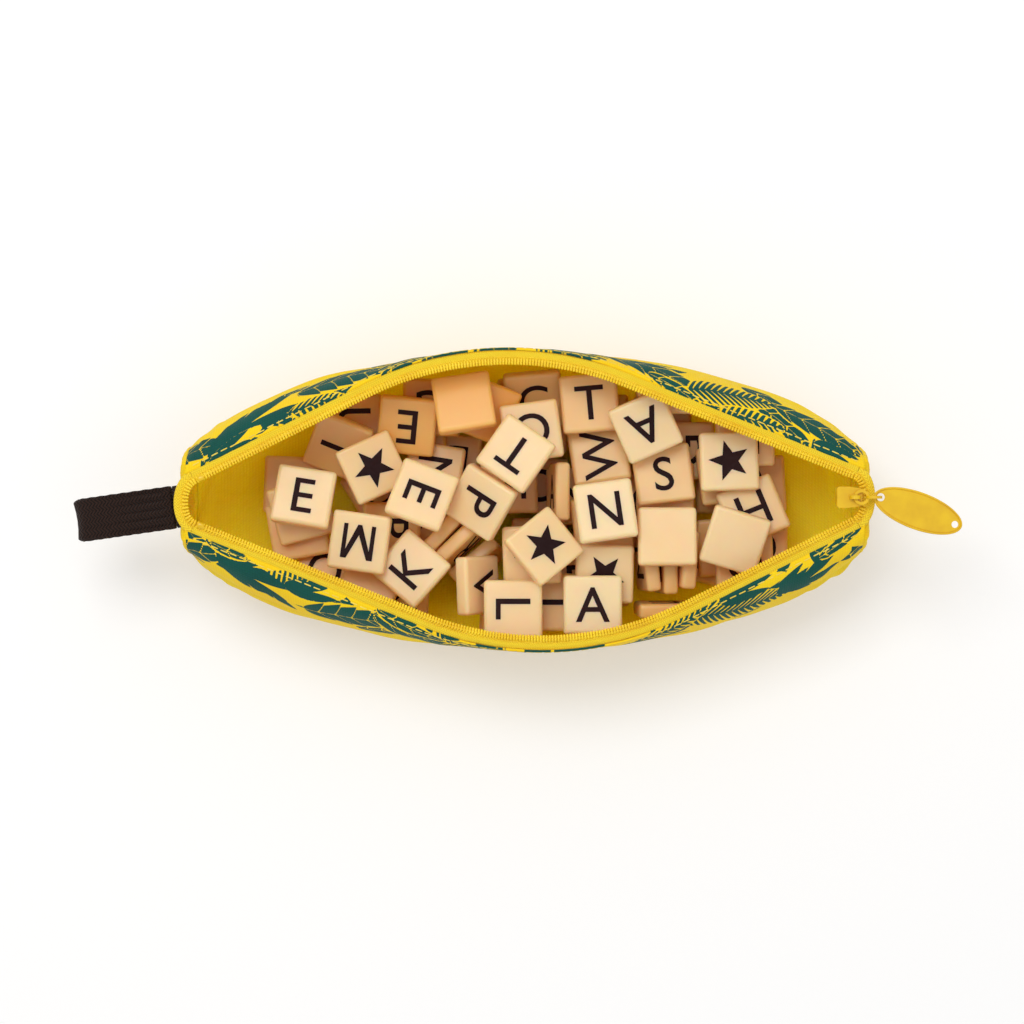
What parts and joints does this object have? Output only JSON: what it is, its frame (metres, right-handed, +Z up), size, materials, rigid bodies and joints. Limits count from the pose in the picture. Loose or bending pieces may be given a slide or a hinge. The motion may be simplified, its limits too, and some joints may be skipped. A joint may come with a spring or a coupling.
{
  "type": "travel word tile game case",
  "caption": "Curved zip pouch lying on its belly, mouth open, full of loose letter tiles, with a slider on an oval pull tag and a webbing carrying loop.",
  "frame": {"origin": "middle of the flat rest on the pouch's belly", "axes": "+Z up, +X along the pouch towards the zip slider and its pull tag, +Y towards the back rim"},
  "size_m": [0.2856, 0.0976, 0.0599],
  "materials": {
    "printed_cloth": "woven polyester printed with dark teal leaves on yellow",
    "plain_cloth": "plain yellow woven polyester",
    "zip_tape": "herringbone zip tape",
    "zip_coil": "moulded polyester coil",
    "slider_metal": "yellow paint on die-cast metal",
    "webbing": "dark brown braided webbing",
    "tile_plastic": "cream melamine with a soft polish"
  },
  "bodies": {
    "pouch": {"back_lower_panel": "plain_cloth", "back_side_panel": "printed_cloth", "back_top_stop": "slider_metal", "back_zip_coil": "zip_coil", "back_zip_tape": "zip_tape", "belly_panel": "plain_cloth", "closed_chain": "zip_coil", "fan_tiles": "tile_plastic", "front_lower_panel": "plain_cloth", "front_side_panel": "printed_cloth", "front_top_stop": "slider_metal", "front_zip_coil": "zip_coil", "front_zip_tape": "zip_tape", "pull_end_piece": "plain_cloth", "pull_end_tape_fold": "zip_tape", "standing_tiles": "tile_plastic", "strap_end_piece": "plain_cloth", "strap_end_tape_fold": "zip_tape", "tile_a_back": "tile_plastic", "tile_a_front": "tile_plastic", "tile_blank_back": "tile_plastic", "tile_blank_mid": "tile_plastic", "tile_blank_right": "tile_plastic", "tile_e_back": "tile_plastic", "tile_h": "tile_plastic", "tile_k": "tile_plastic", "tile_l": "tile_plastic", "tile_o": "tile_plastic", "tile_p": "tile_plastic", "tile_s": "tile_plastic", "tile_star_front": "tile_plastic", "tile_star_left": "tile_plastic", "tile_star_right": "tile_plastic", "tile_t_back": "tile_plastic", "tile_v": "tile_plastic", "tile_w": "tile_plastic", "tiles_below_left": "tile_plastic", "tiles_below_middle": "tile_plastic", "tiles_below_right": "tile_plastic", "tiles_under_back": "tile_plastic", "tiles_under_front": "tile_plastic", "tiles_under_left": "tile_plastic", "tiles_under_mid": "tile_plastic", "tiles_under_right": "tile_plastic"},
    "strap": {"carrying_strap": "webbing"},
    "link": {"pull_link": "slider_metal"},
    "tag": {"pull_tag": "slider_metal"},
    "tile_e_left": {"tile_e_left": "tile_plastic"},
    "tile_e_mid": {"tile_e_mid": "tile_plastic"},
    "tile_m": {"tile_m": "tile_plastic"},
    "tile_n": {"tile_n": "tile_plastic"},
    "tile_star_mid": {"tile_star_mid": "tile_plastic"},
    "tile_t_mid": {"tile_t_mid": "tile_plastic"},
    "slider": {"zip_slider": "slider_metal"}
  },
  "joints": [
    {"name": "zip_slide", "type": "slide", "parent": "pouch", "child": "slider", "axis": [-1, 0, 0], "range_m": [0, 0.198]},
    {"name": "link_flip", "type": "hinge", "parent": "slider", "child": "link", "pos_m": [0.1048, 0.00085, 0.05735], "axis": [0, -1, 0], "range_deg": [0, 150]},
    {"name": "tag_swing", "type": "hinge", "parent": "link", "child": "tag", "pos_m": [0.1129, 0.00085, 0.05735], "axis": [0.0492, -0.0179, 0.9986], "range_deg": [-35, 55]},
    {"name": "strap_hang", "type": "hinge", "parent": "pouch", "child": "strap", "pos_m": [-0.11356, -0.0024, 0.047], "axis": [-0.1392, 0.9903, 0], "range_deg": [-60, 60]},
    {"name": "lift_e_left", "type": "slide", "parent": "pouch", "child": "tile_e_left", "axis": [0, 0, 1], "range_m": [0, 0.06]},
    {"name": "lift_e_mid", "type": "slide", "parent": "pouch", "child": "tile_e_mid", "axis": [0, 0, 1], "range_m": [0, 0.06]},
    {"name": "lift_m", "type": "slide", "parent": "pouch", "child": "tile_m", "axis": [0, 0, 1], "range_m": [0, 0.06]},
    {"name": "lift_n", "type": "slide", "parent": "pouch", "child": "tile_n", "axis": [0, 0, 1], "range_m": [0, 0.06]},
    {"name": "lift_star_mid", "type": "slide", "parent": "pouch", "child": "tile_star_mid", "axis": [0, 0, 1], "range_m": [0, 0.06]},
    {"name": "lift_t_mid", "type": "slide", "parent": "pouch", "child": "tile_t_mid", "axis": [0, 0, 1], "range_m": [0, 0.06]}
  ]
}
